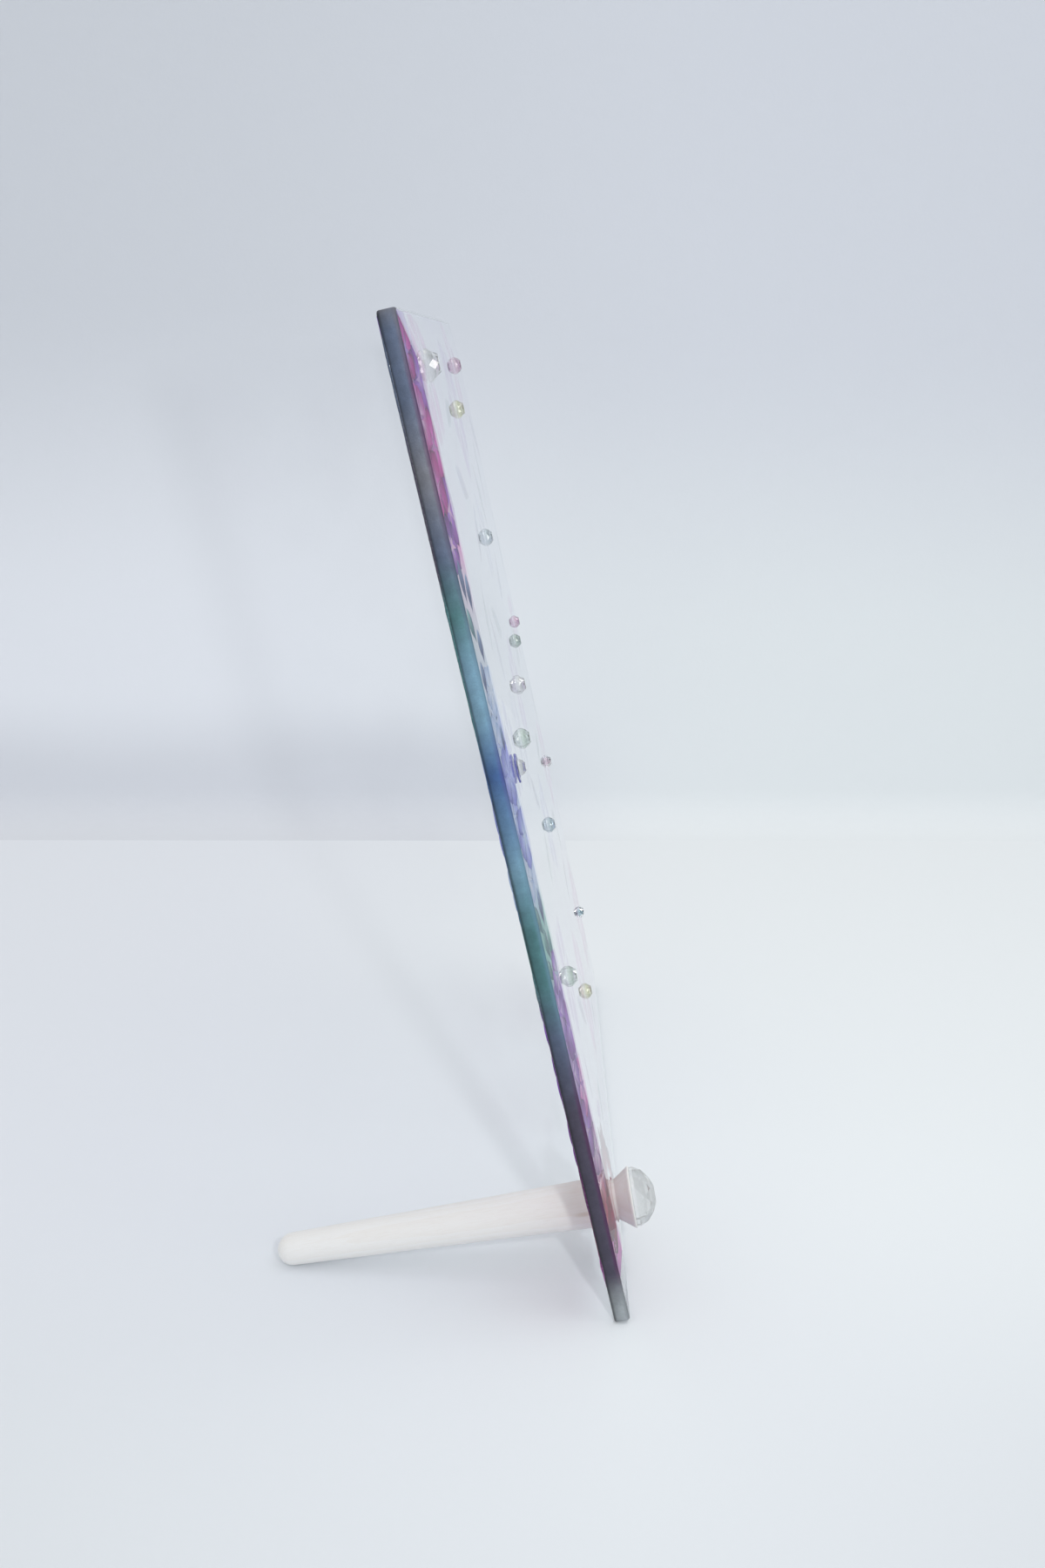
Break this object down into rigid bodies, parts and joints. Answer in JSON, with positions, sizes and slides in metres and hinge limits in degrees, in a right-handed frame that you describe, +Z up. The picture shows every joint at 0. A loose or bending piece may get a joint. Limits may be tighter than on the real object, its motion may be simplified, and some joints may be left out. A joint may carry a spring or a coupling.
{
  "type": "leaning glass picture frame",
  "caption": "Bevelled glass pane with a painted picture and glued crystals, which leans on one turned wooden leg through a hole near its lower corner.",
  "frame": {"origin": "on the table, under the middle of the whole object's box", "axes": "+Z up; the picture's front faces -Y and leans back, and the leg's tail points to +Y; X runs along the pane's width, with the leg on the -X side"},
  "size_m": [0.18, 0.0986, 0.2352],
  "materials": {
    "pane_glass": "polished clear glass with ground and washed edges",
    "glass_paint": "translucent hand-painted layer in pink, lilac and pale blue",
    "violet_relief": "raised glossy violet relief paint",
    "pale_wood": "fine turned pale wood, matt",
    "clear_crystal": "cut and polished, clear",
    "pink_crystal": "cut and polished, pale pink",
    "green_crystal": "cut and polished, pale green",
    "blue_crystal": "cut and polished, blue green"
  },
  "bodies": {
    "pane": {"glass_pane": "pane_glass", "picture_layer": "glass_paint", "flower_petals": "violet_relief", "flower_crystal": "clear_crystal", "crystal_top_left": "clear_crystal", "crystal_top_right": "pink_crystal", "crystal_top_middle": "green_crystal", "crystal_upper_middle": "clear_crystal", "crystal_right_pink": "pink_crystal", "crystal_right_green": "green_crystal", "crystal_centre": "clear_crystal", "crystal_left_of_centre": "green_crystal", "crystal_lower_right": "pink_crystal", "crystal_lower_middle": "blue_crystal", "crystal_bottom_right": "blue_crystal", "crystal_lower_left": "green_crystal", "crystal_bottom_middle": "green_crystal"},
    "leg": {"leg_shaft": "pale_wood"},
    "head": {"leg_head": "pale_wood", "head_crystal": "clear_crystal"}
  },
  "joints": [
    {"name": "leg_slide", "type": "slide", "parent": "pane", "child": "leg", "axis": [0, 0.9836, -0.1805], "range_m": [0, 0.02]},
    {"name": "head_slide", "type": "slide", "parent": "pane", "child": "head", "axis": [0, -0.9836, 0.1805], "range_m": [0, 0.026]}
  ]
}
